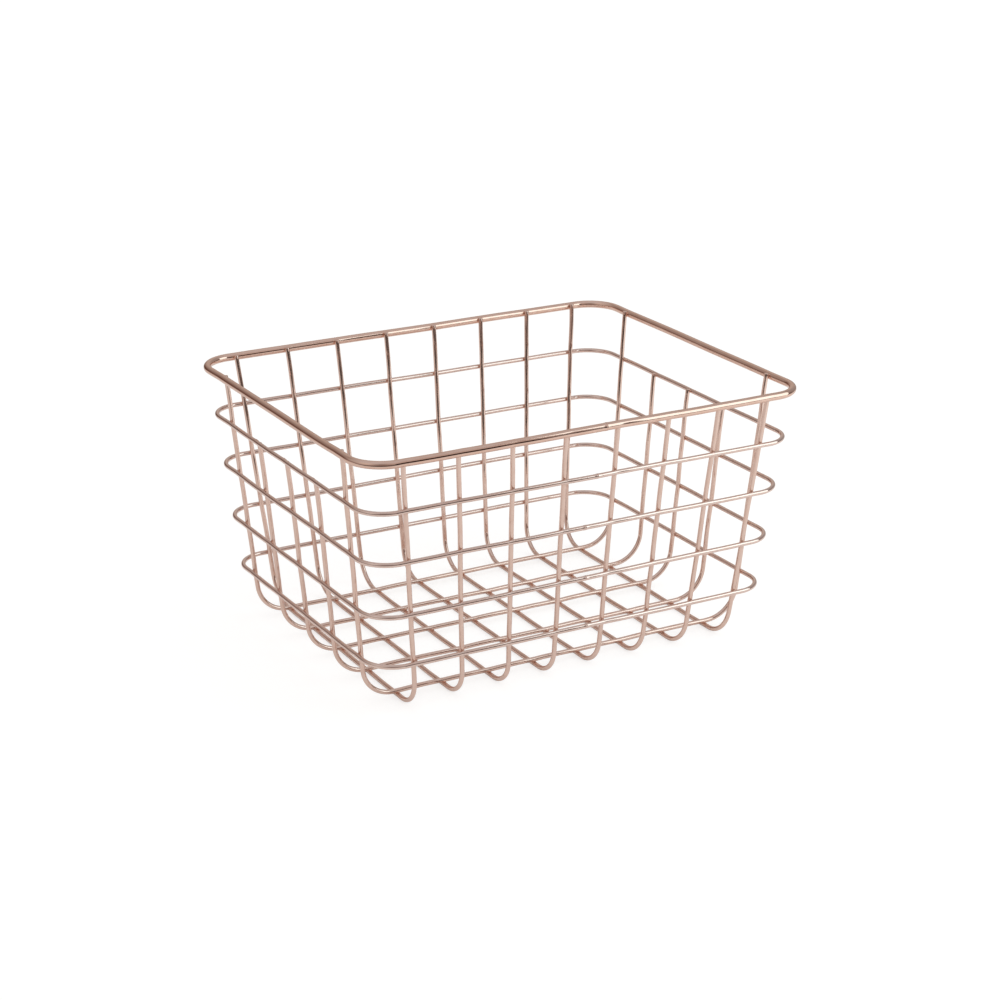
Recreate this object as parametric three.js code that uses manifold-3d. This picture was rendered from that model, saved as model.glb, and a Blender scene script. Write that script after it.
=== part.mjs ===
// A tapered storage basket of plated steel wire, open at the top.
// A stout rim hoop and four thinner side hoops run round the outside, and two sets of U-shaped ribs
// cross each other inside them: cross ribs from front to back, and long ribs from end to end on top.
// Millimetres, +Z up, +X along the long side. The origin is on the standing surface, under the middle.

import * as THREE from "three";
import { mergeVertices } from "three/addons/utils/BufferGeometryUtils.js";
import Module from "manifold-3d";

const wasm = await Module();
wasm.setup();

// Wires
const rimWire = 5; // diameter of the rim's wire
const meshWire = 3; // diameter of the side hoops and the ribs
const weldGap = 0.1; // left between two crossing wires, where the spot weld sits
const wireSides = 12; // flats round each wire, tangent to its true circle
const bendSteps = 5; // straight steps in each bend

// Rim, over the outside of its wire
const rimLength = 315;
const rimDepth = 254;
const overallHeight = 172;
const rimCorner = 22; // bend radius on the wire's axis

// Side hoops, evenly spaced from the lowest to the one under the hand-holds
const hoopCount = 4;
const lowestHoop = 34.7; // height of its axis
const handHold = 28.3; // clear height between the top side hoop and the rim
const hoopCorner = 20.6; // bend radius on the wire's axis

// Floor, between the points where the straight legs would meet it
const floorLength = 271.4;
const floorDepth = 204.1;
const ribBend = 21; // bend radius on the wire's axis

// Ribs, spread evenly over the straight runs of the floor and of the rim
const crossRibs = 8;
const crossInsetFloor = 3.1; // from the outer rib's axis to the end of the straight run
const crossInsetRim = 4.6;
const longRibs = 5;
const longInsetFloor = 5.4;
const longInsetRim = 16.5;
const shortLongRibs = 3; // the middle ones, which stop at the top side hoop
const nearEndDrop = 1.9; // from the top of the hoop down to a rib's cut end, in front and on the left
const farEndDrop = 0.6; // the same at the back and on the right

// Butt weld that closes each hoop, on the front
const weldPlace = 4; // along X from the middle
const weldLength = 3;
const weldUpset = 0.15; // how far the weld stands proud of the wire
const weldRoot = 0.4; // between the wire's two ends, filled by the weld

const rimRadius = rimWire / 2;
const meshRadius = meshWire / 2;
const rimHeight = overallHeight - rimRadius;
const crossFloor = meshRadius; // heights of the ribs' axes on the floor
const longFloor = crossFloor + meshWire + weldGap;
const topHoop = rimHeight - rimRadius - handHold - meshRadius;
const hoopPitch = (topHoop - lowestHoop) / (hoopCount - 1);
const rimHalfLength = rimLength / 2 - rimRadius;
const rimHalfDepth = rimDepth / 2 - rimRadius;

// A leg starts at its corner of the floor and leans out until it lies along the inside of the rim.
function legLean(floorHalf, floorHeight, rimHalf) {
  const out = rimHalf - floorHalf;
  const rise = rimHeight - floorHeight;
  const clear = rimRadius + meshRadius + weldGap;
  return Math.atan2(out, rise) - Math.asin(clear / Math.hypot(out, rise));
}

const longLean = legLean(floorLength / 2, longFloor, rimHalfLength);
const crossLean = legLean(floorDepth / 2, crossFloor, rimHalfDepth);

function legReach(floorHalf, floorHeight, lean, height) {
  return floorHalf + (height - floorHeight) * Math.tan(lean);
}

// Half sizes of a side hoop, which lies along the outside of all the legs at its height.
function hoopHalf(floorHalf, floorHeight, lean, height) {
  return legReach(floorHalf, floorHeight, lean, height) + (meshWire + weldGap) / Math.cos(lean);
}

function straightFloor(floorHalf, lean) {
  return floorHalf - ribBend * Math.tan((Math.PI / 2 - lean) / 2);
}

function direction(from, to) {
  return to.clone().sub(from).normalize();
}

// The centre line of a wire through the given corners, each rounded to one bend radius.
// One flat of the wire's section stays turned to the given side.
class BentWire extends THREE.Curve {
  constructor(corners, bendRadius, side) {
    super();
    this.side = side;
    this.points = [];
    this.tangents = [];
    const last = corners.length - 1;
    this.addStation(corners[0], direction(corners[0], corners[1]));
    for (let i = 1; i < last; i += 1) {
      this.addBend(corners[i - 1], corners[i], corners[i + 1], bendRadius);
    }
    this.addStation(corners[last], direction(corners[last - 1], corners[last]));
  }

  get steps() {
    return this.points.length - 1;
  }

  addStation(point, tangent) {
    this.points.push(point);
    this.tangents.push(tangent);
  }

  addBend(before, corner, after, radius) {
    const arriving = direction(before, corner);
    const leaving = direction(corner, after);
    const turn = arriving.angleTo(leaving);
    const axis = arriving.clone().cross(leaving).normalize();
    const inward = axis.clone().cross(arriving);
    const start = corner.clone().addScaledVector(arriving, -radius * Math.tan(turn / 2));
    const centre = start.clone().addScaledVector(inward, radius);
    for (let step = 0; step <= bendSteps; step += 1) {
      const angle = (turn * step) / bendSteps;
      const spoke = inward.clone().negate().applyAxisAngle(axis, angle);
      const tangent = arriving.clone().applyAxisAngle(axis, angle);
      this.addStation(centre.clone().addScaledVector(spoke, radius), tangent);
    }
  }

  getPointAt(u, target = new THREE.Vector3()) {
    return target.copy(this.points[Math.round(u * this.steps)]);
  }

  computeFrenetFrames() {
    const normals = this.tangents.map((tangent) =>
      this.side.clone().addScaledVector(tangent, -this.side.dot(tangent)).normalize(),
    );
    const binormals = this.tangents.map((tangent, i) => tangent.clone().cross(normals[i]));
    return { tangents: this.tangents, normals, binormals };
  }
}

function wireSection(diameter) {
  const corner = diameter / 2 / Math.cos(Math.PI / wireSides);
  const points = [];
  for (let i = 0; i < wireSides; i += 1) {
    const angle = ((i + 0.5) * 2 * Math.PI) / wireSides;
    points.push(new THREE.Vector2(corner * Math.cos(angle), corner * Math.sin(angle)));
  }
  return new THREE.Shape(points);
}

function sweptWire(path, diameter) {
  return new THREE.ExtrudeGeometry(wireSection(diameter), { steps: path.steps, extrudePath: path });
}

function toSolid(geometry) {
  geometry.deleteAttribute("normal");
  geometry.deleteAttribute("uv");
  const merged = mergeVertices(geometry, 1e-4);
  return new wasm.Manifold(
    new wasm.Mesh({
      numProp: 3,
      vertProperties: new Float32Array(merged.attributes.position.array),
      triVerts: new Uint32Array(merged.index.array),
    }),
  );
}

function joined(first, second) {
  const mesh = toSolid(first).add(toSolid(second)).getMesh();
  const geometry = new THREE.BufferGeometry();
  geometry.setAttribute("position", new THREE.BufferAttribute(mesh.vertProperties, 3));
  geometry.setIndex(new THREE.BufferAttribute(mesh.triVerts, 1));
  geometry.computeVertexNormals();
  return geometry;
}

// One length of wire bent round to a rounded rectangle, its ends butt-welded on the front.
function hoopGeometry(halfLength, halfDepth, corner, diameter) {
  const path = new BentWire(
    [
      new THREE.Vector3(weldPlace + weldRoot / 2, -halfDepth, 0),
      new THREE.Vector3(halfLength, -halfDepth, 0),
      new THREE.Vector3(halfLength, halfDepth, 0),
      new THREE.Vector3(-halfLength, halfDepth, 0),
      new THREE.Vector3(-halfLength, -halfDepth, 0),
      new THREE.Vector3(weldPlace - weldRoot / 2, -halfDepth, 0),
    ],
    corner,
    new THREE.Vector3(0, 0, 1),
  );
  const weld = new THREE.ExtrudeGeometry(wireSection(diameter + 2 * weldUpset), {
    depth: weldLength,
    bevelEnabled: false,
  });
  weld.rotateY(Math.PI / 2);
  weld.translate(weldPlace - weldLength / 2, -halfDepth, 0);
  return joined(sweptWire(path, diameter), weld);
}

// A rib stands on its floor run at the local origin, and its plane fans out sideways as it rises.
// The floor runs along the given axis, the fan and the section's flats along the other.
function ribGeometry(along, aside, floorHalf, floorHeight, lean, fan, endHoopTop) {
  const place = (run, height) =>
    new THREE.Vector3(0, 0, height)
      .addScaledVector(along, run)
      .addScaledVector(aside, (height - floorHeight) * fan);
  const nearEnd = endHoopTop - nearEndDrop;
  const farEnd = endHoopTop - farEndDrop;
  const path = new BentWire(
    [
      place(-legReach(floorHalf, floorHeight, lean, nearEnd), nearEnd),
      place(-floorHalf, floorHeight),
      place(floorHalf, floorHeight),
      place(legReach(floorHalf, floorHeight, lean, farEnd), farEnd),
    ],
    ribBend,
    aside,
  );
  return sweptWire(path, meshWire);
}

function platedWire(name, geometry) {
  const material = new THREE.MeshStandardMaterial({ color: 0xc79a88, roughness: 0.22, metalness: 1 });
  const mesh = new THREE.Mesh(geometry, material);
  mesh.name = name;
  return mesh;
}

const alongX = new THREE.Vector3(1, 0, 0);
const alongY = new THREE.Vector3(0, 1, 0);
const basket = new THREE.Group();

const hoops = new THREE.Group();
const rim = platedWire("rim_hoop", hoopGeometry(rimHalfLength, rimHalfDepth, rimCorner, rimWire));
rim.position.z = rimHeight;
hoops.add(rim);
for (let i = 0; i < hoopCount; i += 1) {
  const height = lowestHoop + i * hoopPitch;
  const halfLength = hoopHalf(floorLength / 2, longFloor, longLean, height);
  const halfDepth = hoopHalf(floorDepth / 2, crossFloor, crossLean, height);
  const hoop = platedWire(`side_hoop_${i + 1}`, hoopGeometry(halfLength, halfDepth, hoopCorner, meshWire));
  hoop.position.z = height;
  hoops.add(hoop);
}
basket.add(hoops);

const rimTop = rimHeight + rimRadius;
const hoopTop = topHoop + meshRadius;

const crossSet = new THREE.Group();
const crossSpanFloor = straightFloor(floorLength / 2, longLean) - crossInsetFloor;
const crossSpanRim = rimHalfLength - rimCorner - crossInsetRim;
for (let i = 0; i < crossRibs; i += 1) {
  const share = (2 * i) / (crossRibs - 1) - 1;
  const fan = (share * (crossSpanRim - crossSpanFloor)) / (rimHeight - crossFloor);
  const rib = platedWire(
    `cross_rib_${i + 1}`,
    ribGeometry(alongY, alongX, floorDepth / 2, crossFloor, crossLean, fan, rimTop),
  );
  rib.position.x = share * crossSpanFloor;
  crossSet.add(rib);
}
basket.add(crossSet);

const longSet = new THREE.Group();
const longSpanFloor = straightFloor(floorDepth / 2, crossLean) - longInsetFloor;
const longSpanRim = rimHalfDepth - rimCorner - longInsetRim;
for (let i = 0; i < longRibs; i += 1) {
  const share = (2 * i) / (longRibs - 1) - 1;
  const fan = (share * (longSpanRim - longSpanFloor)) / (rimHeight - longFloor);
  const stopsShort = Math.abs(i - (longRibs - 1) / 2) < shortLongRibs / 2;
  const rib = platedWire(
    `long_rib_${i + 1}`,
    ribGeometry(alongX, alongY, floorLength / 2, longFloor, longLean, fan, stopsShort ? hoopTop : rimTop),
  );
  rib.position.y = share * longSpanFloor;
  longSet.add(rib);
}
basket.add(longSet);

export default basket;
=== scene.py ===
"""Wire storage basket: round plated wires, their welds and a plain studio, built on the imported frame."""

import math
import random

import bpy
from bpy.props import FloatProperty, FloatVectorProperty, IntProperty, PointerProperty
from mathutils import Matrix, Vector, geometry


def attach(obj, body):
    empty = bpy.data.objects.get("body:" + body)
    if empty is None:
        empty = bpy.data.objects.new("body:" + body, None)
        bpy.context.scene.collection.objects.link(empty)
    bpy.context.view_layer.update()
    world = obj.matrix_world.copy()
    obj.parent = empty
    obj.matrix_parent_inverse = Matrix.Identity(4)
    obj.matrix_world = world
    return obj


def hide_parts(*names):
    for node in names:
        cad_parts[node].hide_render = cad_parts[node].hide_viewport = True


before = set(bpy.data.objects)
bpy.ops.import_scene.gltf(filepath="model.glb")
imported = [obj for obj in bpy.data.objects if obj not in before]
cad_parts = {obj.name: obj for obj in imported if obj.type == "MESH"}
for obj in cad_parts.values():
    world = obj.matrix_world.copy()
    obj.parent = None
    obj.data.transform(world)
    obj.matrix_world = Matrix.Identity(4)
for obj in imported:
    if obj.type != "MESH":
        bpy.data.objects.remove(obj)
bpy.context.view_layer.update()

bl_info = {
    "name": "Wire Storage Basket",
    "version": (1, 0, 0),
    "blender": (4, 5, 0),
    "location": "View3D > Sidebar > Basket",
    "description": "Builds a plated wire basket with its welds, and a plain studio round it",
    "category": "Add Mesh",
}

BODY = "root"
UP = Vector((0.0, 0.0, 1.0))
ALONG = Vector((1.0, 0.0, 0.0))
ACROSS = Vector((0.0, 1.0, 0.0))


def length(name, description, default):
    """A size in metres that a user may change."""
    return FloatProperty(name=name, description=description, default=default, min=0.0, precision=5,
                         unit="LENGTH")


def lengths(name, description, default):
    """One size in metres for each of several pieces."""
    return FloatVectorProperty(name=name, description=description, default=default, size=len(default),
                               unit="LENGTH")


def count(name, description, default, least):
    """A number of pieces."""
    return IntProperty(name=name, description=description, default=default, min=least)


def angle(name, description, degrees):
    """An angle, written in degrees."""
    return FloatProperty(name=name, description=description, default=math.radians(degrees), subtype="ANGLE")


def share(name, description, default):
    """A plain number from 0 to 1."""
    return FloatProperty(name=name, description=description, default=default, min=0.0, max=1.0,
                         subtype="FACTOR")


def tint(name, description, default):
    """A colour in linear light."""
    return FloatVectorProperty(name=name, description=description, default=default, size=3, min=0.0, max=1.0,
                               subtype="COLOR")


def wall(name, default):
    """A tone of the room, low at eye level or high above it."""
    return tint(name, f"Room: {name.lower()}", default)


class BasketSizes(bpy.types.PropertyGroup):
    """Sizes of the basket's wires, in metres."""

    rim_wire: length("Rim wire", "Diameter of the rim's wire", 0.005)
    mesh_wire: length("Mesh wire", "Diameter of the side hoops and the ribs", 0.003)
    weld_gap: length("Weld gap", "Gap between crossing wires that a spot weld fills", 0.0001)
    rim_length: length("Rim length", "Over the outside of the rim", 0.315)
    rim_depth: length("Rim depth", "Over the outside of the rim, front to back", 0.254)
    height: length("Height", "From the standing surface to the top of the rim", 0.172)
    rim_corner: length("Rim corner", "Bend radius on the rim wire's axis", 0.022)
    hoop_corner: length("Hoop corner", "Bend radius on a side hoop's axis", 0.0206)
    lowest_hoop: length("Lowest hoop", "Height of the lowest side hoop's axis", 0.0347)
    hand_hold: length("Hand-hold", "Clear height between the top side hoop and the rim", 0.0283)
    floor_length: length("Floor length", "Between the long ribs' legs, run on down to the floor", 0.2714)
    floor_depth: length("Floor depth", "Between the cross ribs' legs, run on down to the floor", 0.2041)
    rib_bend: length("Rib bend", "Bend radius on a rib's axis", 0.021)
    cross_inset_floor: length("Cross inset, floor", "Outer cross rib to the end of the flat floor", 0.0031)
    cross_inset_rim: length("Cross inset, rim", "Outer cross rib to the end of the rim's straight", 0.0046)
    long_inset_floor: length("Long inset, floor", "Outer long rib to the end of the flat floor", 0.0054)
    long_inset_rim: length("Long inset, rim", "Outer long rib to the end of the rim's straight", 0.0165)
    near_end_drop: length("Near end drop", "Hoop's top to a rib's cut end, in front and on the left", 0.0019)
    far_end_drop: length("Far end drop", "Hoop's top to a rib's cut end, behind and on the right", 0.0006)
    rim_seam: length("Rim seam", "Butt weld of the rim, along the front from its middle", 0.0069)
    hoop_seams: lengths("Hoop seams", "Butt welds of the side hoops, from the bottom up",
                        (0.0037, 0.0005, -0.0023, 0.0037))
    hoop_lifts: lengths("Hoop lifts", "Side hoops above their even places, from the bottom up",
                        (-0.0003, -0.0002, 0.0007, 0.0001))
    hoop_dips: lengths("Hoop dips", "Side hoops' right ends below the left, from the bottom up",
                       (0.0, -0.0006, 0.0008, 0.0014))
    rim_dip: length("Rim dip", "The rim's right end below its left end", 0.0006)
    sway: length("Sway", "How far a wire strays from its true line", 0.0001)
    weld_pull: length("Weld pull", "How far a spot weld draws each of its wires to the other", 0.0003)
    pull_reach: length("Pull reach", "How far along a wire a spot weld's pull is felt", 0.009)
    seam_upset: length("Seam upset", "How far a butt weld stands proud of its wire", 0.00016)
    seam_reach: length("Seam reach", "How far a butt weld's swelling runs along the wire", 0.0011)
    seam_groove: length("Seam groove", "Depth of the line in the middle of a butt weld", 0.00014)
    seam_step: length("Seam step", "How far the two ends of a butt weld miss each other", 0.00012)
    end_round: length("End round", "Rounding of a rib's cut end", 0.00035)
    weld_height: length("Weld height", "Height of the fillet between two crossing wires", 0.0007)
    hoops: count("Side hoops", "Hoops below the rim", 4, 2)
    cross_ribs: count("Cross ribs", "Ribs from front to back", 8, 2)
    long_ribs: count("Long ribs", "Ribs from end to end", 5, 2)
    short_long_ribs: count("Short long ribs", "Middle long ribs that stop at the top hoop", 3, 0)


class PlatingLook(bpy.types.PropertyGroup):
    """Finish of the plated wire."""

    plate: tint("Plate", "Rose-gold plating", (0.86, 0.645, 0.56))
    deep: tint("Deep plate", "Plating where it lies thicker", (0.83, 0.605, 0.515))
    # A paler copy of the plating on the side hoops, which paints the whiter highlights along them.
    hoop_plate: tint("Hoop plate", "Paler plating on the side hoops", (0.86, 0.67, 0.6))
    hoop_deep: tint("Deep hoop plate", "Side hoops' plating where it lies thicker", (0.83, 0.63, 0.555))
    # A deeper, redder copy of the plating on the rim, which paints the darker, redder reflections along it.
    rim_plate: tint("Rim plate", "Deeper plating on the stout rim", (0.845, 0.595, 0.495))
    rim_deep: tint("Deep rim plate", "Rim's plating where it lies thicker", (0.815, 0.555, 0.45))
    # Darker plating over the welds, which also paints the shade where the wires cross.
    heated: tint("Heated plate", "Plating over a weld", (0.6, 0.38, 0.3))
    wire_gloss: share("Wire gloss", "Roughness of the polished wire", 0.08)
    weld_gloss: share("Weld gloss", "Roughness of the welds", 0.16)
    # How strongly the wires beside the welds, and the welds themselves, take the darker plating and painted
    # shade.
    wire_heat: share("Wire heat", "How much the welds mark the wires beside them", 0.6)
    weld_heat: share("Weld heat", "How much the welds are marked", 0.75)
    line_strength: share("Line strength", "Strength of the faint drawing lines", 0.04)
    line_depth: length("Line depth", "Depth of the faint drawing lines", 0.00001)


class StudioLook(bpy.types.PropertyGroup):
    """Light, room and floor round the basket. The camera is in front."""

    backdrop: tint("Backdrop", "What the camera sees past the basket", (1.0, 1.0, 1.0))
    dome: tint("Dome", "Soft light on the floor", (0.8, 0.8, 0.8))
    ceiling: tint("Ceiling", "Pale ceiling", (0.6, 0.61, 0.63))
    front_low: wall("Front, low", (0.22, 0.16, 0.14))
    front_high: wall("Front, high", (0.35, 0.32, 0.31))
    front_left_low: wall("Front left, low", (0.5, 0.45, 0.43))
    front_left_high: wall("Front left, high", (0.69, 0.66, 0.63))
    left_low: wall("Left, low", (0.3, 0.25, 0.24))
    left_high: wall("Left, high", (0.52, 0.5, 0.48))
    back_left_low: wall("Back left, low", (0.12, 0.05, 0.03))
    back_left_high: wall("Back left, high", (0.38, 0.34, 0.32))
    back_low: wall("Back, low", (0.51, 0.43, 0.38))
    back_high: wall("Back, high", (0.56, 0.52, 0.49))
    back_right_low: wall("Back right, low", (0.36, 0.33, 0.32))
    back_right_high: wall("Back right, high", (0.36, 0.35, 0.35))
    right_low: wall("Right, low", (0.1, 0.07, 0.06))
    right_high: wall("Right, high", (0.5, 0.45, 0.43))
    front_right_low: wall("Front right, low", (0.28, 0.24, 0.23))
    front_right_high: wall("Front right, high", (0.55, 0.5, 0.48))
    floor: tint("Floor", "Pale floor round the basket", (0.85, 0.82, 0.8))
    floor_front: tint("Floor, front", "Past the floor's front edge", (0.1, 0.09, 0.085))
    floor_back: tint("Floor, back", "Past the floor's back edge", (0.24, 0.21, 0.2))
    floor_left: tint("Floor, left", "Past the floor's left edge", (0.7, 0.6, 0.55))
    floor_right: tint("Floor, right", "Past the floor's right edge", (0.1, 0.09, 0.085))
    reach_front: length("Reach to the front", "Where the floor starts to dim", 0.41)
    reach_back: length("Reach to the back", "Where the floor starts to dim", 0.66)
    reach_left: length("Reach to the left", "Where the floor starts to dim", 0.75)
    reach_right: length("Reach to the right", "Where the floor starts to dim", 1.0)
    fade_front: length("Fade in front", "Over which the floor dims in front", 0.22)
    fade: length("Fade", "Over which the floor dims on the other sides", 0.42)
    softbox_distance: length("Softbox distance", "From the basket's middle", 0.93)
    softbox_width: length("Softbox width", "Width of the softbox", 0.6)
    softbox_height: length("Softbox height", "Height of the softbox", 0.76)
    softbox_turn: angle("Softbox turn", "Round from the front, to the right", 49.0)
    softbox_rise: angle("Softbox rise", "Up from the horizon", 24.5)
    softbox_roll: angle("Softbox roll", "Leaning over to the back", -13.2)
    case: tint("Softbox case", "Dark cloth round the softbox", (0.03, 0.022, 0.02))
    softbox_edge: length("Softbox edge", "Dark edge round the softbox's face", 0.014)
    flag: tint("Flag", "Dark red-brown cloth of the flag", (0.09, 0.045, 0.04))
    flag_distance: length("Flag distance", "From the basket's middle", 3.0)
    flag_width: length("Flag width", "Width of the flag", 0.92)
    flag_height: length("Flag height", "Height of the flag", 1.2)
    flag_turn: angle("Flag turn", "Round from the front, to the right", 18.7)
    flag_rise: angle("Flag rise", "Up from the horizon", 9.8)
    softbox_tint: tint("Softbox tint", "Colour of its light", (0.82, 0.97, 1.0))
    softbox_glow: FloatProperty(name="Softbox glow", description="Brightness of its face",
                                default=1.74, min=0.0, subtype="UNSIGNED")


FULL_TURN = 2 * math.pi
STRAIGHT_STEP = 0.003
BEND_STEPS = 14
SIDES = 24


class Straight:
    """A straight stretch of a wire's centre line."""

    def __init__(self, start, end):
        self.start = start
        self.along = (end - start).normalized()
        self.length = (end - start).length
        self.steps = max(1, round(self.length / STRAIGHT_STEP))

    def at(self, distance):
        return self.start + self.along * distance, self.along


class Bend:
    """A round bend of a wire's centre line."""

    def __init__(self, start, arriving, leaving, radius):
        turn = arriving.angle(leaving)
        self.arriving = arriving
        self.axis = arriving.cross(leaving).normalized()
        self.spoke = arriving.cross(self.axis) * radius
        self.centre = start - self.spoke
        self.radius = radius
        self.length = radius * turn
        self.steps = BEND_STEPS

    def at(self, distance):
        turned = Matrix.Rotation(distance / self.radius, 3, self.axis)
        return self.centre + turned @ self.spoke, turned @ self.arriving


class BentLine:
    """A wire's centre line through corners that are rounded to one bend radius."""

    def __init__(self, corners, bend_radius):
        self.corners = corners
        self.stretches = []
        here = corners[0]
        for before, corner, after in zip(corners, corners[1:], corners[2:]):
            arriving = (corner - before).normalized()
            leaving = (after - corner).normalized()
            back = bend_radius * math.tan(arriving.angle(leaving) / 2)
            self.stretches.append(Straight(here, corner - arriving * back))
            self.stretches.append(Bend(corner - arriving * back, arriving, leaving, bend_radius))
            here = corner + leaving * back
        self.stretches.append(Straight(here, corners[-1]))
        self.length = sum(stretch.length for stretch in self.stretches)

    def at(self, distance):
        """The point and the direction at a distance from the wire's start."""
        for stretch in self.stretches[:-1]:
            if distance < stretch.length:
                return stretch.at(distance)
            distance -= stretch.length
        return self.stretches[-1].at(distance)

    def stations(self):
        """Distances along the wire at which it gets a ring of points."""
        start = 0.0
        for stretch in self.stretches:
            yield from (start + stretch.length * step / stretch.steps for step in range(stretch.steps))
            start += stretch.length
        yield self.length

    def run(self, index):
        """The unrounded line from one corner to the next."""
        return self.corners[index], self.corners[index + 1]

    def nearest(self, point):
        """Distance along the wire to the place on its straight stretches nearest to a point."""
        start = 0.0
        found = []
        for stretch in self.stretches:
            if isinstance(stretch, Straight):
                along = min(max((point - stretch.start).dot(stretch.along), 0.0), stretch.length)
                found.append(((stretch.at(along)[0] - point).length, start + along))
            start += stretch.length
        return min(found)[1]


class Wire:
    """One wire: its line, its radius, and the direction that its section's first side keeps to."""

    FRONT, RIGHT, BACK, LEFT = range(4)
    FIRST_LEG, FLOOR, SECOND_LEG = range(3)
    SWAYS = 4
    SWAY_TURNS = (5, 8)

    def __init__(self, name, line, radius, side, closed=False):
        self.name = name
        self.line = line
        self.radius = radius
        self.side = side
        self.closed = closed
        self.welds = []
        self.pulls = []
        chance = random.Random(name)
        self.waves = [(chance.randint(*self.SWAY_TURNS), chance.uniform(0, FULL_TURN))
                      for _ in range(self.SWAYS)]

    def sway(self, distance):
        """How far the drawn wire strays from its line, to its side and across that."""
        turns = [FULL_TURN * waves * distance / self.line.length + start for waves, start in self.waves]
        amount = bpy.context.scene.basket_sizes.sway
        first = math.sin(turns[0]) + math.sin(2 * turns[1]) / 2
        second = math.sin(turns[2]) + math.sin(2 * turns[3]) / 2
        return first * amount, second * amount

    def meet(self, weld, towards):
        """Takes note of a spot weld and of where it draws the wire."""
        self.welds.append(weld)
        self.pulls.append((self.line.nearest(weld.on(self)), towards))

    def drawn(self, distance):
        """How far the spot welds draw the wire off its line."""
        sizes = bpy.context.scene.basket_sizes
        moved = Vector()
        for place, towards in self.pulls:
            away = abs(distance - place)
            if self.closed:
                away = min(away, self.line.length - away)
            moved += towards * sizes.weld_pull * math.exp(-away / sizes.pull_reach)
        return moved

    def frame(self, distance):
        """The centre, the direction, and two directions across, at a distance along the wire."""
        point, tangent = self.line.at(distance)
        across = (self.side - tangent * self.side.dot(tangent)).normalized()
        other = tangent.cross(across)
        first, second = self.sway(distance)
        return point + across * first + other * second + self.drawn(distance), tangent, across, other


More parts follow.
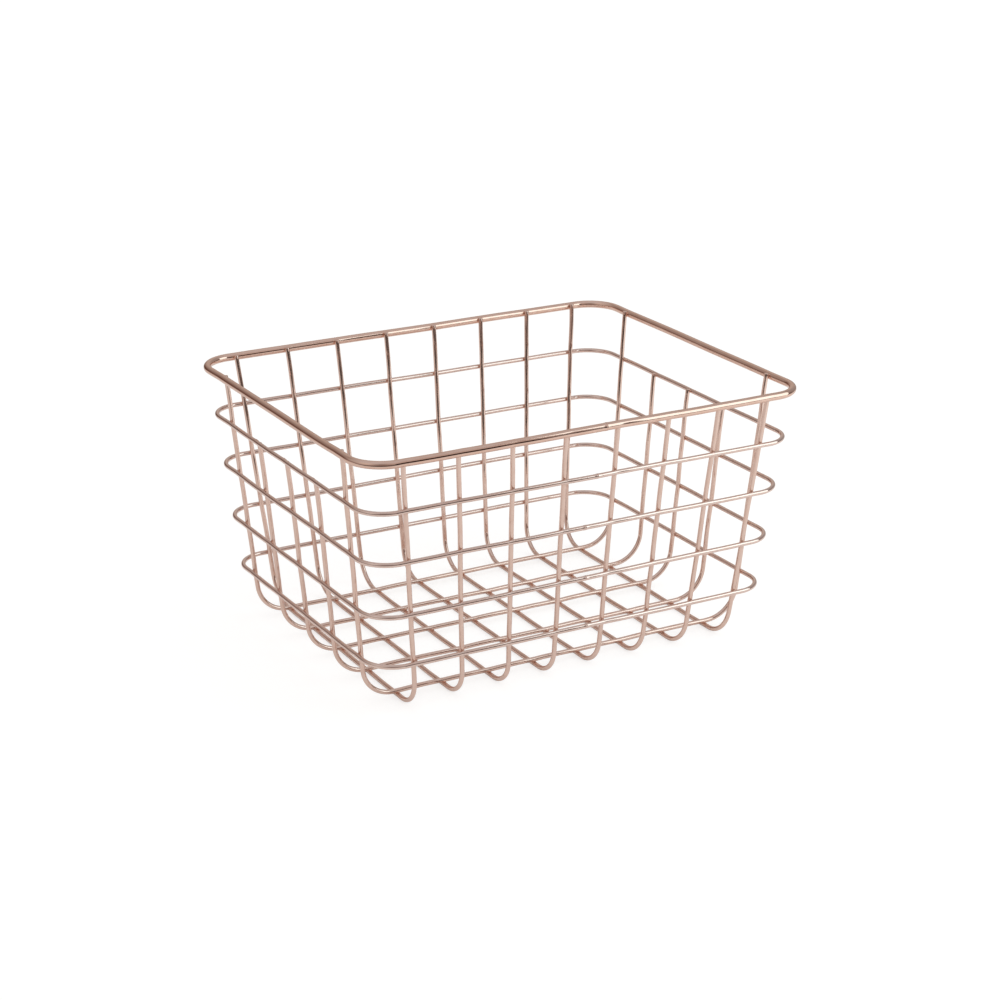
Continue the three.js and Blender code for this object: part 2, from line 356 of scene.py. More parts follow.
class BasketPlan:
    """Where each wire of the basket runs, worked out from its sizes."""

    def __init__(self, sizes):
        self.sizes = sizes
        self.rim_radius = sizes.rim_wire / 2
        self.mesh_radius = sizes.mesh_wire / 2
        self.rim_height = sizes.height - self.rim_radius
        self.cross_floor = self.mesh_radius
        self.long_floor = self.cross_floor + sizes.mesh_wire + sizes.weld_gap
        self.top_hoop = self.rim_height - self.rim_radius - sizes.hand_hold - self.mesh_radius
        self.rim_half_length = sizes.rim_length / 2 - self.rim_radius
        self.rim_half_depth = sizes.rim_depth / 2 - self.rim_radius
        self.long_lean = self.lean(sizes.floor_length / 2, self.long_floor, self.rim_half_length)
        self.cross_lean = self.lean(sizes.floor_depth / 2, self.cross_floor, self.rim_half_depth)

    def lean(self, floor_half, floor_height, rim_half):
        out = rim_half - floor_half
        rise = self.rim_height - floor_height
        clear = self.rim_radius + self.mesh_radius + self.sizes.weld_gap
        return math.atan2(out, rise) - math.asin(clear / math.hypot(out, rise))

    def straight_floor(self, floor_half, lean):
        return floor_half - self.sizes.rib_bend * math.tan((math.pi / 2 - lean) / 2)

    def hoop_height(self, index):
        low = self.sizes.lowest_hoop
        return low + index * (self.top_hoop - low) / (self.sizes.hoops - 1)

    def hoop_halves(self, height):
        sizes = self.sizes
        clear = sizes.mesh_wire + sizes.weld_gap
        reach_x = sizes.floor_length / 2 + (height - self.long_floor) * math.tan(self.long_lean)
        reach_y = sizes.floor_depth / 2 + (height - self.cross_floor) * math.tan(self.cross_lean)
        return reach_x + clear / math.cos(self.long_lean), reach_y + clear / math.cos(self.cross_lean)

    def hoop_wire(self, name, half_length, half_depth, height, dip, corner, radius, seam):
        def at(x, y):
            return Vector((x, y, height - dip * x / (2 * half_length)))

        joint = at(seam, -half_depth)
        corners = [joint, at(half_length, -half_depth), at(half_length, half_depth),
                   at(-half_length, half_depth), at(-half_length, -half_depth), joint]
        return Wire(name, BentLine(corners, corner), radius, UP, closed=True)

    def rim(self):
        return self.hoop_wire("rim_hoop", self.rim_half_length, self.rim_half_depth, self.rim_height,
                              self.sizes.rim_dip, self.sizes.rim_corner, self.rim_radius, self.sizes.rim_seam)

    def side_hoop(self, index):
        sizes = self.sizes
        height = self.hoop_height(index) + sizes.hoop_lifts[index]
        half_length, half_depth = self.hoop_halves(height)
        return self.hoop_wire(f"side_hoop_{index + 1}", half_length, half_depth, height,
                              sizes.hoop_dips[index], sizes.hoop_corner, self.mesh_radius,
                              sizes.hoop_seams[index])

    def rib_wire(self, name, along, aside, place, fan, floor_half, floor_height, lean, hoop_top):
        def at(run, height):
            return along * run + aside * (place + (height - floor_height) * fan) + UP * height

        def reach(height):
            return floor_half + (height - floor_height) * math.tan(lean)

        near_end = hoop_top - self.sizes.near_end_drop
        far_end = hoop_top - self.sizes.far_end_drop
        corners = [at(-reach(near_end), near_end), at(-floor_half, floor_height),
                   at(floor_half, floor_height), at(reach(far_end), far_end)]
        return Wire(name, BentLine(corners, self.sizes.rib_bend), self.mesh_radius, aside)

    def rib_spread(self, index, count, floor_half, lean, inset_floor, rim_straight, inset_rim, floor_height):
        part = 2 * index / (count - 1) - 1
        floor_span = self.straight_floor(floor_half, lean) - inset_floor
        rim_span = rim_straight - self.sizes.rim_corner - inset_rim
        return part * floor_span, part * (rim_span - floor_span) / (self.rim_height - floor_height)

    def cross_place(self, index):
        sizes = self.sizes
        return self.rib_spread(index, sizes.cross_ribs, sizes.floor_length / 2, self.long_lean,
                               sizes.cross_inset_floor, self.rim_half_length, sizes.cross_inset_rim,
                               self.cross_floor)

    def long_place(self, index):
        sizes = self.sizes
        return self.rib_spread(index, sizes.long_ribs, sizes.floor_depth / 2, self.cross_lean,
                               sizes.long_inset_floor, self.rim_half_depth, sizes.long_inset_rim,
                               self.long_floor)

    def reaches_rim(self, index):
        """The middle long ribs stop at the top side hoop, below the hand-hold."""
        return abs(index - (self.sizes.long_ribs - 1) / 2) >= self.sizes.short_long_ribs / 2

    def cross_rib(self, index):
        place, fan = self.cross_place(index)
        return self.rib_wire(f"cross_rib_{index + 1}", ACROSS, ALONG, place, fan, self.sizes.floor_depth / 2,
                             self.cross_floor, self.cross_lean, self.sizes.height)

    def long_rib(self, index):
        place, fan = self.long_place(index)
        hoop_top = self.sizes.height if self.reaches_rim(index) else self.top_hoop + self.mesh_radius
        return self.rib_wire(f"long_rib_{index + 1}", ALONG, ACROSS, place, fan, self.sizes.floor_length / 2,
                             self.long_floor, self.long_lean, hoop_top)


class WireSkin:
    """The round skin of one wire, with its cut ends or its butt weld."""

    SEAM_STATIONS = (0.00008, 0.00018, 0.0003, 0.0005, 0.0008, 0.0012, 0.0017, 0.0023)
    END_STATIONS = (0.1, 0.35, 0.65, 1.0)
    WELD_SPREAD = 0.0017
    WELD_REACH = 4 * WELD_SPREAD
    GROOVE_WIDTH = 0.00016
    STEP_REACH = 0.008
    STEP_UP, STEP_OUT = 0.8, 0.6
    END_CROWN = 0.3

    def __init__(self, wire, sizes):
        self.wire = wire
        self.sizes = sizes
        self.points = []
        self.faces = []
        self.places = []
        self.heat = []
        self.stations = sorted(set(self.all_stations()))
        for distance in self.stations:
            self.add_ring(distance)
        self.join_rings()
        if not wire.closed:
            self.close_end(0, -1)
            self.close_end(len(self.stations) - 1, 1)

    def all_stations(self):
        whole = self.wire.line.length
        fine = self.SEAM_STATIONS
        if not self.wire.closed:
            fine = [self.sizes.end_round * one for one in self.END_STATIONS]
        yield from (one for one in self.wire.line.stations() if fine[-1] < one < whole - fine[-1])
        yield from fine
        yield from (whole - one for one in fine)
        yield 0.0
        yield whole

    def radius_at(self, distance):
        from_end = min(distance, self.wire.line.length - distance)
        radius = self.wire.radius
        if self.wire.closed:
            radius += self.sizes.seam_upset * math.exp(-(from_end / self.sizes.seam_reach) ** 2)
            deep = self.sizes.seam_groove + self.sizes.seam_upset
            return radius - deep * math.exp(-(from_end / self.GROOVE_WIDTH) ** 2)
        inside = max(0.0, 1 - from_end / self.sizes.end_round)
        return radius - self.sizes.end_round * (1 - math.sqrt(1 - inside * inside))

    def add_ring(self, distance):
        centre, _, across, other = self.wire.frame(distance)
        if self.wire.closed:
            half = self.sizes.seam_step / 2
            first = math.exp(-distance / self.STEP_REACH)
            last = math.exp(-(self.wire.line.length - distance) / self.STEP_REACH)
            centre = centre + (across * self.STEP_UP + other * self.STEP_OUT) * half * (first - last)
        radius = self.radius_at(distance)
        near = [weld for weld in self.wire.welds if (weld.on(self.wire) - centre).length < self.WELD_REACH]
        for step in range(SIDES):
            turn = FULL_TURN * step / SIDES
            out = across * math.cos(turn) + other * math.sin(turn)
            point = centre + out * radius
            self.points.append(point)
            self.places.append((math.cos(turn) * radius, math.sin(turn) * radius, distance))
            # Nearness to a weld, for the darker plating and painted shade there.
            self.heat.append(max((weld.heat(point, self.WELD_SPREAD) for weld in near), default=0.0))

    def join_rings(self):
        count = len(self.stations)
        for row in range(count if self.wire.closed else count - 1):
            here = row * SIDES
            there = (row + 1) % count * SIDES
            for step in range(SIDES):
                after = (step + 1) % SIDES
                self.faces.append((here + step, here + after, there + after, there + step))

    def close_end(self, row, outward):
        """A sheared end: flat, with its middle a little proud."""
        ring = list(range(row * SIDES, row * SIDES + SIDES))
        centre, tangent, *_ = self.wire.frame(self.stations[row])
        proud = tangent * outward * self.sizes.end_round * self.END_CROWN
        middle = len(self.points)
        self.points.append(centre + proud)
        self.places.append((0.0, 0.0, self.stations[row]))
        self.heat.append(self.heat[ring[0]])
        for one, after in zip(ring, ring[1:] + ring[:1]):
            self.faces.append((one, after, middle) if outward > 0 else (after, one, middle))


class SpotWeld:
    """The melted metal between two wires that cross."""

    ROUND = 24
    RISE = (0.0, 0.2, 0.4, 0.6, 0.8, 1.0)
    SINK = 0.00018
    HEIGHTS = (0.8, 1.2)
    LOBES = (2, 3, 5)
    BUMP = 0.07
    WIDEST = 0.9
    HALVINGS = 24
    HOLLOW = 0.5
    ROOT = 0.6

    def __init__(self, first, first_run, second, second_run, height, pull):
        a_start, a_end = first.line.run(first_run)
        b_start, b_end = second.line.run(second_run)
        met = geometry.intersect_line_line(a_start, a_end, b_start, b_end)
        if met is None:
            raise RuntimeError(f"{first.name} and {second.name} do not cross")
        self.first, self.second = first, second
        self.up = (met[1] - met[0]).normalized()
        self.a = met[0] + self.up * pull
        self.b = met[1] - self.up * pull
        self.along_a = (a_end - a_start).normalized()
        self.along_b = (b_end - b_start).normalized()
        self.apart = (self.b - self.a).length
        chance = random.Random(first.name + second.name + str(first_run))
        self.height = height * chance.uniform(*self.HEIGHTS)
        self.bumps = [(lobes, chance.uniform(0.0, self.BUMP), chance.uniform(0, FULL_TURN))
                      for lobes in self.LOBES]
        first.meet(self, self.up)
        second.meet(self, -self.up)

    def on(self, wire):
        return self.a if wire is self.first else self.b

    def heat(self, point, spread):
        """How near a point lies to the weld's middle: the mask for the darker plating and the painted shade
        where the wires cross, and for the rougher finish there.
        """
        gap = self.apart - self.first.radius - self.second.radius
        middle = self.a + self.up * (self.first.radius + gap / 2)
        return math.exp(-((point - middle).length / spread) ** 2)

    def rise(self, out, along, reach, radius):
        """Height of a wire's skin over its axis, a reach away from the weld's middle."""
        aside = (out - along * out.dot(along)).length * reach
        return math.sqrt(max(radius * radius - aside * aside, 0.0))

    def gap(self, out, reach):
        return (self.apart - self.rise(out, self.along_a, reach, self.first.radius)
                - self.rise(out, self.along_b, reach, self.second.radius))

    def edge(self, out, turn):
        """How far from its middle the weld's edge lies in one direction."""
        swell = 1 + sum(size * math.sin(lobes * turn + start) for lobes, size, start in self.bumps)
        low, high = 0.0, self.WIDEST * min(self.first.radius, self.second.radius)
        for _ in range(self.HALVINGS):
            middle = (low + high) / 2
            if self.gap(out, middle) < self.height * swell:
                low = middle
            else:
                high = middle
        return low

    def add_to(self, points, faces):
        base = len(points)
        side = self.up.cross(self.along_a)
        rows = len(self.RISE) + 2
        for step in range(self.ROUND):
            turn = FULL_TURN * step / self.ROUND
            out = self.along_a * math.cos(turn) + side * math.sin(turn)
            reach = self.edge(out, turn)
            low = self.a + self.up * self.rise(out, self.along_a, reach, self.first.radius) + out * reach
            high = self.b - self.up * self.rise(out, self.along_b, reach, self.second.radius) + out * reach
            waist = (low + high) / 2 - out * (high - low).length * self.HOLLOW
            points.append(low - (self.up + out * 2) * self.SINK)
            for part in self.RISE:
                points.append(low * (1 - part) ** 2 + waist * 2 * part * (1 - part) + high * part ** 2)
            points.append(high + (self.up - out * 2) * self.SINK)
        points.append(self.a + self.up * self.first.radius * self.ROOT)
        points.append(self.b - self.up * self.second.radius * self.ROOT)
        for step in range(self.ROUND):
            here = base + step * rows
            there = base + (step + 1) % self.ROUND * rows
            for row in range(rows - 1):
                faces.append((here + row, there + row, there + row + 1, here + row + 1))
            faces.append((there, here, base + self.ROUND * rows))
            faces.append((here + rows - 1, there + rows - 1, base + self.ROUND * rows + 1))


class Basket:
    """All the wires of the basket and the welds between them."""

    def __init__(self, sizes):
        self.sizes = sizes
        plan = BasketPlan(sizes)
        self.rim = plan.rim()
        self.rim_hoops = [self.rim]
        self.side_hoops = [plan.side_hoop(index) for index in range(sizes.hoops)]
        self.cross_ribs = [plan.cross_rib(index) for index in range(sizes.cross_ribs)]
        self.long_ribs = [plan.long_rib(index) for index in range(sizes.long_ribs)]
        self.welds = {"rim_welds": self.hoop_welds(self.rim, plan)}
        for hoop in self.side_hoops:
            self.welds[hoop.name + "_welds"] = self.hoop_welds(hoop, plan)
        self.welds["floor_welds"] = [
            self.weld(lower, Wire.FLOOR, upper, Wire.FLOOR)
            for upper in self.long_ribs
            for lower in self.cross_ribs
        ]

    def weld(self, first, first_run, second, second_run):
        return SpotWeld(first, first_run, second, second_run, self.sizes.weld_height, self.sizes.weld_pull)

    def hoop_welds(self, hoop, plan):
        """Spot welds of one hoop to the legs of all the ribs that reach it."""
        welds = []
        for rib in self.cross_ribs:
            welds.append(self.weld(rib, Wire.FIRST_LEG, hoop, Wire.FRONT))
            welds.append(self.weld(rib, Wire.SECOND_LEG, hoop, Wire.BACK))
        for index, rib in enumerate(self.long_ribs):
            if hoop is not self.rim or plan.reaches_rim(index):
                welds.append(self.weld(rib, Wire.FIRST_LEG, hoop, Wire.LEFT))
                welds.append(self.weld(rib, Wire.SECOND_LEG, hoop, Wire.RIGHT))
        return welds


MIX_A, MIX_B, MIX_COLOUR = 6, 7, 2


def add_node(tree, kind, inputs=(), **settings):
    """A new node with its settings, and with values or links on its inputs."""
    node = tree.nodes.new(kind)
    for name, value in settings.items():
        setattr(node, name, value)
    for name, value in dict(inputs).items():
        if isinstance(value, bpy.types.NodeSocket):
            tree.links.new(value, node.inputs[name])
        else:
            node.inputs[name].default_value = value
    return node


def mixed(tree, factor, first, second):
    """A colour between two others."""
    first, second = (one if isinstance(one, bpy.types.NodeSocket) else (*one, 1.0) for one in (first, second))
    node = add_node(tree, "ShaderNodeMix", {0: factor, MIX_A: first, MIX_B: second}, data_type="RGBA")
    return node.outputs[MIX_COLOUR]


def reckoned(tree, operation, first, second):
    """The result of one sum."""
    return add_node(tree, "ShaderNodeMath", {0: first, 1: second}, operation=operation).outputs[0]


def eased(tree, value, low, high):
    """A value eased from 0 at its low to 1 at its high end."""
    node = add_node(tree, "ShaderNodeMapRange", {"Value": value, "From Min": low, "From Max": high},
                    interpolation_type="SMOOTHSTEP")
    return node.outputs["Result"]


def noise(tree, place, scale, detail):
    """A cloudy pattern from 0 to 1."""
    node = add_node(tree, "ShaderNodeTexNoise", {"Vector": place, "Scale": scale, "Detail": detail})
    return node.outputs["Fac"]


COLOUR, NUMBER = "NodeSocketColor", "NodeSocketFloat"
# Shaded: the darker plating over the welds that paints the shade where the wires cross; Shade: how much of it
# a piece takes.
PLATE_INPUTS = {"Plate": COLOUR, "Deep": COLOUR, "Heated": COLOUR, "Gloss": NUMBER, "Heat": NUMBER}
PLATE_OUTPUTS = {"Colour": COLOUR, "Roughness": NUMBER, "Height": NUMBER}
CLOUD_SCALE = 160.0
CLOUD_DETAIL = 3.0
CLOUD_EDGE = (0.35, 0.7)
SPECK_SCALE = 1900.0
SPECK_ROUGHNESS = 0.08
SPECK_HEIGHT = 0.4
LINE_STRETCH = (5200.0, 5200.0, 70.0)
LINE_HEIGHT = 0.6
FINE_DETAIL = 2.0
WELD_ROUGHNESS = 0.16


def plate_group():
    """Plating on drawn wire: cloudy tone, faint drawing lines, and darker, rougher plating near the welds
    that also paints the shade where the wires cross.
    """
    found = bpy.data.node_groups.get("plate_on_drawn_wire")
    if found:
        return found
    tree = bpy.data.node_groups.new("plate_on_drawn_wire", "ShaderNodeTree")
    for name, kind in PLATE_INPUTS.items():
        tree.interface.new_socket(name, in_out="INPUT", socket_type=kind)
    for name, kind in PLATE_OUTPUTS.items():
        tree.interface.new_socket(name, in_out="OUTPUT", socket_type=kind)
    given = add_node(tree, "NodeGroupInput").outputs
    place = add_node(tree, "ShaderNodeAttribute", attribute_name="wire_place").outputs["Vector"]
    # Nearness to the welds, which masks their darker plating and painted shade.
    heat = add_node(tree, "ShaderNodeAttribute", attribute_name="weld_heat").outputs["Fac"]
    heat = reckoned(tree, "MULTIPLY", heat, given["Heat"])
    cloud = noise(tree, place, CLOUD_SCALE, CLOUD_DETAIL)
    speck = noise(tree, place, SPECK_SCALE, FINE_DETAIL)
    drawn = add_node(tree, "ShaderNodeVectorMath", {0: place, 1: LINE_STRETCH}, operation="MULTIPLY")
    lines = noise(tree, drawn.outputs[0], 1.0, FINE_DETAIL)
    colour = mixed(tree, eased(tree, cloud, *CLOUD_EDGE), given["Plate"], given["Deep"])
    # Darker plating and painted shade at the welds.
    colour = mixed(tree, heat, colour, given["Heated"])
    spread = reckoned(tree, "MULTIPLY", reckoned(tree, "SUBTRACT", speck, 0.5), SPECK_ROUGHNESS)
    rough = reckoned(tree, "ADD", given["Gloss"], spread)
    rough = reckoned(tree, "ADD", rough, reckoned(tree, "MULTIPLY", heat, WELD_ROUGHNESS))
    height = reckoned(tree, "ADD", reckoned(tree, "MULTIPLY", lines, LINE_HEIGHT),
                      reckoned(tree, "MULTIPLY", speck, SPECK_HEIGHT))
    add_node(tree, "NodeGroupOutput", {"Colour": colour, "Roughness": rough, "Height": height})
    return tree


def plating(kind):
    """Polished rose-gold plating of the ribs' wire, the hoops, the rim or the welds."""
    name = f"rose_gold_{kind}"
    found = bpy.data.materials.get(name)
    if found:
        return found
    look = bpy.context.scene.basket_plating
    # The hoops and the rim take copies of the plating that paint the hoops' whiter highlights and the rim's
    # darker reflections.
    tones = {"hoop": (look.hoop_plate, look.hoop_deep), "rim": (look.rim_plate, look.rim_deep)}
    plate, deep = tones.get(kind, (look.plate, look.deep))
    melted = kind == "weld"
    material = bpy.data.materials.new(name)
    material.use_nodes = True
    tree = material.node_tree
    surface = add_node(tree, "ShaderNodeGroup", {
        "Plate": (*plate, 1.0),
        "Deep": (*deep, 1.0),
        "Heated": (*look.heated, 1.0),
        "Gloss": look.weld_gloss if melted else look.wire_gloss,
        "Heat": look.weld_heat if melted else look.wire_heat,
    }, node_tree=plate_group())
    bump = add_node(tree, "ShaderNodeBump", {
        "Height": surface.outputs["Height"], "Strength": look.line_strength, "Distance": look.line_depth})
    shader = tree.nodes["Principled BSDF"]
    shader.inputs["Metallic"].default_value = 1.0
    tree.links.new(surface.outputs["Colour"], shader.inputs["Base Color"])
    tree.links.new(surface.outputs["Roughness"], shader.inputs["Roughness"])
    tree.links.new(bump.outputs["Normal"], shader.inputs["Normal"])
    return material


def add_object(name, data):
    """A new object in the scene."""
    made = bpy.data.objects.new(name, data)
    bpy.context.collection.objects.link(made)
    return made


def make_piece(name, points, faces, places, heat, material):
    """A smooth mesh object that rides on the basket, with what its plating needs to know."""
    mesh = bpy.data.meshes.new(name)
    mesh.from_pydata([tuple(point) for point in points], [], faces)
    mesh.attributes.new("wire_place", "FLOAT_VECTOR", "POINT").data.foreach_set(
        "vector", [number for place in places for number in place])
    # How much of the welds' darker plating and painted shade each point takes.
    mesh.attributes.new("weld_heat", "FLOAT", "POINT").data.foreach_set("value", heat)
    mesh.shade_smooth()
    mesh.materials.append(material)
    piece = add_object(name, mesh)
    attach(piece, BODY)
    return piece


SHARP_FROM = math.radians(50.0)


def place_wire(wire, sizes, material):
    """Puts the round wire in place of its plain solid."""
    skin = WireSkin(wire, sizes)
    piece = make_piece(wire.name + "_wire", skin.points, skin.faces, skin.places, skin.heat, material)
    if not wire.closed:
        piece.data.set_sharp_from_angle(angle=SHARP_FROM)
    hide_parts(wire.name)


def place_welds(name, welds):
    """Puts one group of spot welds between the wires."""
    points, faces = [], []
    for weld in welds:
        weld.add_to(points, faces)
    # A weld takes the whole mask: darker plating that also paints the shade between its wires.
    make_piece(name, points, faces, points, [1.0] * len(points), plating("weld"))


class WireMaker:
    """What the operators that make wires have in common."""

    def execute(self, context):
        sizes = context.scene.basket_sizes
        for wire in getattr(Basket(sizes), self.group):
            place_wire(wire, sizes, plating(self.finish))
        return {"FINISHED"}


class BASKET_OT_rim_hoop(WireMaker, bpy.types.Operator):
    """Makes the stout rim hoop"""

    bl_idname = "basket.rim_hoop"
    bl_label = "Rim Hoop"
    group = "rim_hoops"
    finish = "rim"


class BASKET_OT_side_hoops(WireMaker, bpy.types.Operator):
    """Makes the thinner hoops below the rim"""

    bl_idname = "basket.side_hoops"
    bl_label = "Side Hoops"
    group = "side_hoops"
    finish = "hoop"


class BASKET_OT_cross_ribs(WireMaker, bpy.types.Operator):
    """Makes the ribs from front to back"""

    bl_idname = "basket.cross_ribs"
    bl_label = "Cross Ribs"
    group = "cross_ribs"
    finish = "wire"


class BASKET_OT_long_ribs(WireMaker, bpy.types.Operator):
    """Makes the ribs from end to end"""

    bl_idname = "basket.long_ribs"
    bl_label = "Long Ribs"
    group = "long_ribs"
    finish = "wire"


class BASKET_OT_spot_welds(bpy.types.Operator):
    """Makes the spot welds where the wires cross"""

    bl_idname = "basket.spot_welds"
    bl_label = "Spot Welds"

    def execute(self, context):
        for name, welds in Basket(context.scene.basket_sizes).welds.items():
            place_welds(name, welds)
        return {"FINISHED"}


class BASKET_OT_studio(bpy.types.Operator):
    """Sets the floor, the light and the camera"""

    bl_idname = "basket.studio"
    bl_label = "Studio"

    AZIMUTH = math.radians(-29.07)
    ELEVATION = math.radians(19.84)
    ROLL = math.radians(-0.2)
    DISTANCE = 1.60407
    TARGET = Vector((0.00288, 0.0, 0.08436))
    FOCAL_PIXELS = 2446.61
    FRAME_PIXELS = 1000
    SENSOR = 36.0
    WALL_EDGE = (0.08, 0.55)
    CEILING_EDGE = (0.6, 0.95)
    FLOOR_SIDE = 8.0
    BEHIND = 0.004
    WHITE_SHARE = 0.5
    LIFT_NEAR = 1.36
    LIFT_FAR = 1.95

    def execute(self, context):
        context.scene.view_settings.view_transform = "Standard"
        self.make_camera(context)
        self.make_world(context)
        self.make_softbox(context)
        self.make_flag(context)
        self.make_floor(context)
        return {"FINISHED"}

    def make_camera(self, context):
        back = self.away_from_basket(self.AZIMUTH, self.ELEVATION)
        right = (-back).cross(UP).normalized()
        above = right.cross(-back)
        turn = Matrix.Rotation(self.ROLL, 3, back)
        right = turn @ right
        above = turn @ above
        data = bpy.data.cameras.new("photo_camera")
        data.sensor_fit = "HORIZONTAL"
        data.sensor_width = self.SENSOR
        data.lens = self.FOCAL_PIXELS / self.FRAME_PIXELS * self.SENSOR
        camera = add_object("photo_camera", data)
        camera.matrix_world = Matrix.Translation(self.TARGET + back * self.DISTANCE) @ Matrix(
            (right, above, back)).transposed().to_4x4()
        context.scene.camera = camera

    def from_camera(self, tree, place):
        """How far a place lies to the right, and how far away, as the camera sees it."""
        right = (math.cos(self.AZIMUTH), math.sin(self.AZIMUTH), 0.0)
        away = (-math.sin(self.AZIMUTH), math.cos(self.AZIMUTH), 0.0)
        found = []
        for way in (right, away):
            node = add_node(tree, "ShaderNodeVectorMath", {0: place, 1: way}, operation="DOT_PRODUCT")
            found.append(node.outputs["Value"])
        return found

    def walls(self, tree, aside, away, look, height):
        """The room at one height: its ends and sides, square to the camera, and the corners between them."""

        def tone(side):
            return getattr(look, f"{side}_{height}")

        on_right = reckoned(tree, "GREATER_THAN", aside, 0.0)
        behind = reckoned(tree, "GREATER_THAN", away, 0.0)
        ahead = reckoned(tree, "SUBTRACT", reckoned(tree, "MULTIPLY", away, away),
                         reckoned(tree, "MULTIPLY", aside, aside))
        sides = mixed(tree, on_right, tone("left"), tone("right"))
        ends = mixed(tree, behind, tone("front"), tone("back"))
        square = mixed(tree, reckoned(tree, "GREATER_THAN", ahead, 0.0), sides, ends)
        near = mixed(tree, on_right, tone("front_left"), tone("front_right"))
        far = mixed(tree, on_right, tone("back_left"), tone("back_right"))
        corner = mixed(tree, behind, near, far)
        return mixed(tree, reckoned(tree, "MULTIPLY", ahead, ahead), corner, square)

    def make_world(self, context):
        """The room that the wires mirror, with plain white where the camera looks past."""
        look = context.scene.basket_studio
        world = bpy.data.worlds.new("studio_room")
        context.scene.world = world
        world.use_nodes = True
        tree = world.node_tree
        tree.nodes.clear()
        way = add_node(tree, "ShaderNodeTexCoord").outputs["Generated"]
        rise = add_node(tree, "ShaderNodeSeparateXYZ", {0: way}).outputs["Z"]
        level = add_node(tree, "ShaderNodeVectorMath", {0: way, 1: (1.0, 1.0, 0.0)}, operation="MULTIPLY")
        level = add_node(tree, "ShaderNodeVectorMath", {0: level.outputs[0]}, operation="NORMALIZE")
        aside, away = self.from_camera(tree, level.outputs[0])
        low = self.walls(tree, aside, away, look, "low")
        high = self.walls(tree, aside, away, look, "high")
        room = mixed(tree, eased(tree, rise, *self.WALL_EDGE), low, high)
        room = mixed(tree, eased(tree, rise, *self.CEILING_EDGE), room, look.ceiling)
        path = add_node(tree, "ShaderNodeLightPath").outputs
        shown = mixed(tree, path["Is Camera Ray"], look.dome, look.backdrop)
        shown = mixed(tree, path["Is Glossy Ray"], shown, room)
        background = add_node(tree, "ShaderNodeBackground", {"Color": shown})
        add_node(tree, "ShaderNodeOutputWorld", {"Surface": background.outputs[0]})

    def away_from_basket(self, turn, rise):
        """The direction from the basket that is turned to the right from its front, and raised."""
        level = math.cos(rise)
        return Vector((math.sin(turn) * level, -math.cos(turn) * level, math.sin(rise)))

    def make_softbox(self, context):
        """One tall soft lamp, on the right in front of the basket, in its dark case."""
        look = context.scene.basket_studio
        away = self.away_from_basket(look.softbox_turn, look.softbox_rise)
        data = bpy.data.lights.new("softbox", "AREA")
        data.shape = "RECTANGLE"
        data.size = look.softbox_width
        data.size_y = look.softbox_height
        data.color = look.softbox_tint
        data.energy = look.softbox_glow * data.size * data.size_y * math.pi
        lamp = add_object("softbox", data)
        lamp.location = self.TARGET + away * look.softbox_distance
        turned = away.to_track_quat("Z", "Y").to_matrix() @ Matrix.Rotation(look.softbox_roll, 3, "Z")
        lamp.rotation_euler = turned.to_euler()
        self.make_panel("softbox_case", look.case, data.size + 2 * look.softbox_edge,
                        data.size_y + 2 * look.softbox_edge, lamp.location + away * self.BEHIND, turned)

    def make_flag(self, context):
        """A large flag of dark cloth, far off between the softbox and the camera."""
        look = context.scene.basket_studio
        away = self.away_from_basket(look.flag_turn, look.flag_rise)
        self.make_panel("dark_flag", look.flag, look.flag_width, look.flag_height,
                        self.TARGET + away * look.flag_distance, away.to_track_quat("Z", "Y").to_matrix())

    def flat_mesh(self, name, width, height):
        """A flat rectangle round its own middle."""
        wide, tall = width / 2, height / 2
        corners = [(-wide, -tall, 0), (wide, -tall, 0), (wide, tall, 0), (-wide, tall, 0)]
        mesh = bpy.data.meshes.new(name)
        mesh.from_pydata(corners, [], [(0, 1, 2, 3)])
        return mesh

    def empty_material(self, name):
        """A material whose nodes are still to come."""
        material = bpy.data.materials.new(name)
        material.use_nodes = True
        material.node_tree.nodes.clear()
        return material

    def make_panel(self, name, colour, width, height, place, turned):
        """A matt panel that only the wires' mirror sees."""
        mesh = self.flat_mesh(name, width, height)
        panel = add_object(name, mesh)
        panel.location = place
        panel.rotation_euler = turned.to_euler()
        panel.visible_camera = False
        panel.visible_diffuse = False
        panel.visible_shadow = False
        material = self.empty_material(name)
        tree = material.node_tree
        matt = add_node(tree, "ShaderNodeBsdfDiffuse", {"Color": (*colour, 1.0)})
        add_node(tree, "ShaderNodeOutputMaterial", {"Surface": matt.outputs[0]})
        mesh.materials.append(material)

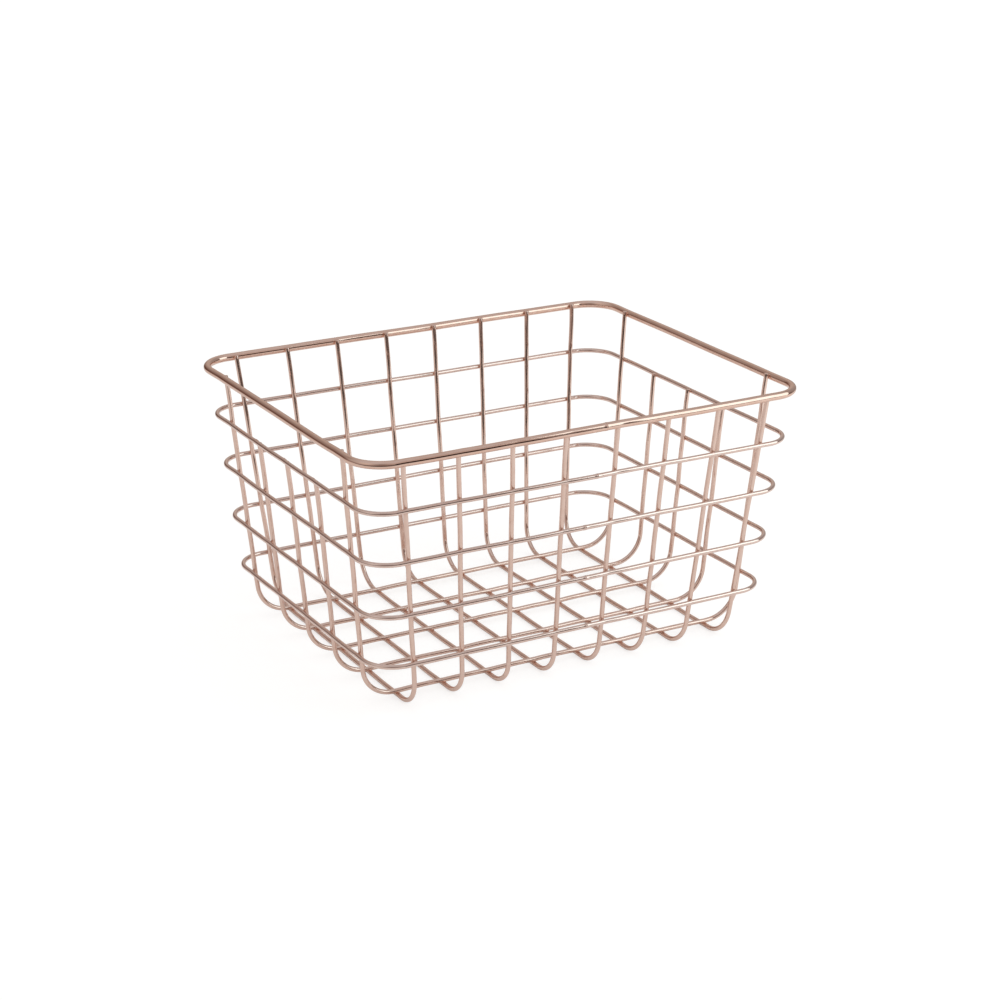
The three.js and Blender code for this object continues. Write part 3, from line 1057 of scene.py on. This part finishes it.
    def make_floor(self, context):
        """A pale floor that is white to the camera, keeps a soft shadow, and dims away from the basket."""
        look = context.scene.basket_studio
        mesh = self.flat_mesh("studio_floor", self.FLOOR_SIDE, self.FLOOR_SIDE)
        floor = add_object("studio_floor", mesh)
        material = self.empty_material("studio_paper")
        tree = material.node_tree
        place = add_node(tree, "ShaderNodeTexCoord").outputs["Object"]
        aside, away = self.from_camera(tree, place)
        paper, dimmed = look.floor, 0.0
        for colour, way, side, reach, fade in (
                (look.floor_left, aside, -1, look.reach_left, look.fade),
                (look.floor_right, aside, 1, look.reach_right, look.fade),
                (look.floor_back, away, 1, look.reach_back, look.fade),
                (look.floor_front, away, -1, look.reach_front, look.fade_front)):
            past = eased(tree, way, side * reach, side * (reach + fade))
            paper = mixed(tree, past, paper, colour)
            dimmed = reckoned(tree, "MAXIMUM", dimmed, past)
        path = add_node(tree, "ShaderNodeLightPath").outputs
        matt = add_node(tree, "ShaderNodeBsdfDiffuse", {"Color": paper})
        lift = reckoned(tree, "MULTIPLY", dimmed, self.LIFT_FAR - self.LIFT_NEAR)
        glow = add_node(tree, "ShaderNodeEmission", {"Strength": reckoned(tree, "ADD", lift, self.LIFT_NEAR)})
        white = add_node(tree, "ShaderNodeMixShader", {
            0: reckoned(tree, "MULTIPLY", path["Is Camera Ray"], self.WHITE_SHARE),
            1: matt.outputs[0], 2: glow.outputs[0]})
        add_node(tree, "ShaderNodeOutputMaterial", {"Surface": white.outputs[0]})
        mesh.materials.append(material)


class BASKET_PT_sidebar(bpy.types.Panel):
    """Lists the basket's pieces"""

    bl_label = "Wire Basket"
    bl_idname = "BASKET_PT_sidebar"
    bl_space_type = "VIEW_3D"
    bl_region_type = "UI"
    bl_category = "Basket"

    def draw(self, context):
        column = self.layout.column()
        for operator in OPERATORS:
            column.operator(operator.bl_idname)


OPERATORS = (
    BASKET_OT_rim_hoop,
    BASKET_OT_side_hoops,
    BASKET_OT_cross_ribs,
    BASKET_OT_long_ribs,
    BASKET_OT_spot_welds,
    BASKET_OT_studio,
)
CLASSES = (BasketSizes, PlatingLook, StudioLook, *OPERATORS, BASKET_PT_sidebar)


def register():
    for one in CLASSES:
        bpy.utils.register_class(one)
    bpy.types.Scene.basket_sizes = PointerProperty(type=BasketSizes)
    bpy.types.Scene.basket_plating = PointerProperty(type=PlatingLook)
    bpy.types.Scene.basket_studio = PointerProperty(type=StudioLook)


def unregister():
    del bpy.types.Scene.basket_studio
    del bpy.types.Scene.basket_plating
    del bpy.types.Scene.basket_sizes
    for one in reversed(CLASSES):
        bpy.utils.unregister_class(one)


def main():
    register()
    bpy.ops.basket.rim_hoop()
    bpy.ops.basket.side_hoops()
    bpy.ops.basket.cross_ribs()
    bpy.ops.basket.long_ribs()
    bpy.ops.basket.spot_welds()
    bpy.ops.basket.studio()


if __name__ == "__main__":
    main()
